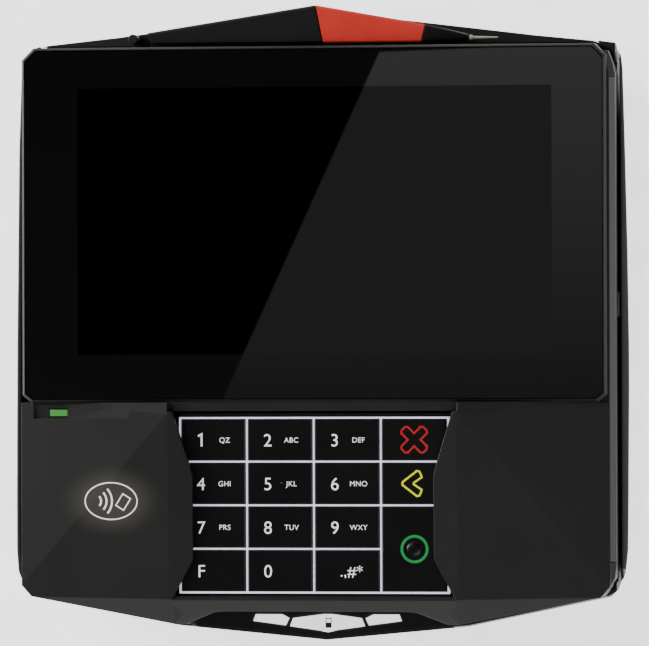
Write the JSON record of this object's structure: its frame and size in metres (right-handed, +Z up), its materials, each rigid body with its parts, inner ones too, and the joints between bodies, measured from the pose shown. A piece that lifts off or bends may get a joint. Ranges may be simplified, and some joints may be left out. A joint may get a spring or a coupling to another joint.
{
  "type": "card payment terminal",
  "caption": "Countertop card payment terminal: wide touch display over a shielded keypad, tap zone, chip slot in front, swipe slot at the right, stylus behind.",
  "frame": {"origin": "centre of the outline seen from above, on the surface that the four feet stand on", "axes": "+X to the right of the display and towards the swipe slot, +Y from the user towards the display end and the stylus, +Z up; the deck leans back 8 degrees about X"},
  "size_m": [0.2002, 0.201, 0.0681],
  "materials": {
    "case_plastic": "fine matt texture",
    "display_glass": "polished, black printed border",
    "display_panel": "smooth",
    "key_plastic": "satin",
    "key_light": "translucent white, lit",
    "swipe_lens": "smoky translucent",
    "slot_lens": "satin silver",
    "status_lens": "translucent green, lit",
    "stylus_red": "satin",
    "stylus_black": "matt",
    "stylus_tip": "smooth",
    "foot_rubber": "matt",
    "keypad_rubber": "matt",
    "steel": "brushed",
    "circuit_board": "green solder mask",
    "black_resin": "matt"
  },
  "bodies": {
    "terminal_case": {"front_housing": "case_plastic", "rear_housing": "case_plastic", "stylus_cradle": "case_plastic", "swipe_rail": "case_plastic", "display_glass": "display_glass", "display_panel": "display_panel", "keypad_light_guide": "key_light", "contactless_light_guide": "key_light", "swipe_light": "swipe_lens", "card_light_left": "slot_lens", "card_light_center": "slot_lens", "card_light_right": "slot_lens", "status_light": "status_lens", "foot_1": "foot_rubber", "foot_2": "foot_rubber", "foot_3": "foot_rubber", "foot_4": "foot_rubber", "keypad_mat": "keypad_rubber", "display_bracket": "steel", "head_spring": "steel", "card_contact_block": "steel", "backup_battery": "steel", "screw_1": "steel", "screw_2": "steel", "screw_3": "steel", "screw_4": "steel", "main_board": "circuit_board", "keypad_board": "circuit_board", "antenna_board": "circuit_board", "battery_holder": "black_resin", "speaker": "black_resin", "card_reader_base": "black_resin", "card_reader_cover": "black_resin", "card_guide_left": "black_resin", "card_guide_right": "black_resin", "cable_connector": "black_resin"},
    "key_1": {"key_1": "key_plastic"},
    "key_2": {"key_2": "key_plastic"},
    "key_3": {"key_3": "key_plastic"},
    "key_cancel": {"key_cancel": "key_plastic"},
    "key_4": {"key_4": "key_plastic"},
    "key_5": {"key_5": "key_plastic"},
    "key_6": {"key_6": "key_plastic"},
    "key_clear": {"key_clear": "key_plastic"},
    "key_7": {"key_7": "key_plastic"},
    "key_8": {"key_8": "key_plastic"},
    "key_9": {"key_9": "key_plastic"},
    "key_enter": {"key_enter": "key_plastic"},
    "key_function": {"key_function": "key_plastic"},
    "key_0": {"key_0": "key_plastic"},
    "key_symbols": {"key_symbols": "key_plastic"},
    "magnetic_head": {"magnetic_head": "steel"},
    "stylus": {"stylus_barrel": "stylus_black", "stylus_band": "stylus_red", "stylus_cone": "stylus_black", "stylus_nib": "stylus_tip"},
    "cable_cover": {"cable_cover": "case_plastic"}
  },
  "joints": [
    {"name": "key_1_press", "type": "slide", "parent": "terminal_case", "child": "key_1", "axis": [0, 0.1392, -0.9903], "range_m": [0, 0.0007], "stiffness_N_per_m": 1500, "springref_m": -0.0006},
    {"name": "key_2_press", "type": "slide", "parent": "terminal_case", "child": "key_2", "axis": [0, 0.1392, -0.9903], "range_m": [0, 0.0007], "stiffness_N_per_m": 1500, "springref_m": -0.0006},
    {"name": "key_3_press", "type": "slide", "parent": "terminal_case", "child": "key_3", "axis": [0, 0.1392, -0.9903], "range_m": [0, 0.0007], "stiffness_N_per_m": 1500, "springref_m": -0.0006},
    {"name": "key_cancel_press", "type": "slide", "parent": "terminal_case", "child": "key_cancel", "axis": [0, 0.1392, -0.9903], "range_m": [0, 0.0007], "stiffness_N_per_m": 1500, "springref_m": -0.0006},
    {"name": "key_4_press", "type": "slide", "parent": "terminal_case", "child": "key_4", "axis": [0, 0.1392, -0.9903], "range_m": [0, 0.0007], "stiffness_N_per_m": 1500, "springref_m": -0.0006},
    {"name": "key_5_press", "type": "slide", "parent": "terminal_case", "child": "key_5", "axis": [0, 0.1392, -0.9903], "range_m": [0, 0.0007], "stiffness_N_per_m": 1500, "springref_m": -0.0006},
    {"name": "key_6_press", "type": "slide", "parent": "terminal_case", "child": "key_6", "axis": [0, 0.1392, -0.9903], "range_m": [0, 0.0007], "stiffness_N_per_m": 1500, "springref_m": -0.0006},
    {"name": "key_clear_press", "type": "slide", "parent": "terminal_case", "child": "key_clear", "axis": [0, 0.1392, -0.9903], "range_m": [0, 0.0007], "stiffness_N_per_m": 1500, "springref_m": -0.0006},
    {"name": "key_7_press", "type": "slide", "parent": "terminal_case", "child": "key_7", "axis": [0, 0.1392, -0.9903], "range_m": [0, 0.0007], "stiffness_N_per_m": 1500, "springref_m": -0.0006},
    {"name": "key_8_press", "type": "slide", "parent": "terminal_case", "child": "key_8", "axis": [0, 0.1392, -0.9903], "range_m": [0, 0.0007], "stiffness_N_per_m": 1500, "springref_m": -0.0006},
    {"name": "key_9_press", "type": "slide", "parent": "terminal_case", "child": "key_9", "axis": [0, 0.1392, -0.9903], "range_m": [0, 0.0007], "stiffness_N_per_m": 1500, "springref_m": -0.0006},
    {"name": "key_enter_press", "type": "slide", "parent": "terminal_case", "child": "key_enter", "axis": [0, 0.1392, -0.9903], "range_m": [0, 0.0007], "stiffness_N_per_m": 1500, "springref_m": -0.0006},
    {"name": "key_function_press", "type": "slide", "parent": "terminal_case", "child": "key_function", "axis": [0, 0.1392, -0.9903], "range_m": [0, 0.0007], "stiffness_N_per_m": 1500, "springref_m": -0.0006},
    {"name": "key_0_press", "type": "slide", "parent": "terminal_case", "child": "key_0", "axis": [0, 0.1392, -0.9903], "range_m": [0, 0.0007], "stiffness_N_per_m": 1500, "springref_m": -0.0006},
    {"name": "key_symbols_press", "type": "slide", "parent": "terminal_case", "child": "key_symbols", "axis": [0, 0.1392, -0.9903], "range_m": [0, 0.0007], "stiffness_N_per_m": 1500, "springref_m": -0.0006},
    {"name": "magnetic_head_give", "type": "slide", "parent": "terminal_case", "child": "magnetic_head", "axis": [-1, 0, 0], "range_m": [0, 0.0008], "stiffness_N_per_m": 1500, "springref_m": -0.0005},
    {"name": "stylus_lift", "type": "slide", "parent": "terminal_case", "child": "stylus", "axis": [0, -0.1392, 0.9903], "range_m": [0, 0.05]},
    {"name": "cable_cover_slide", "type": "slide", "parent": "terminal_case", "child": "cable_cover", "axis": [0, 1, 0], "range_m": [0, 0.06]}
  ]
}
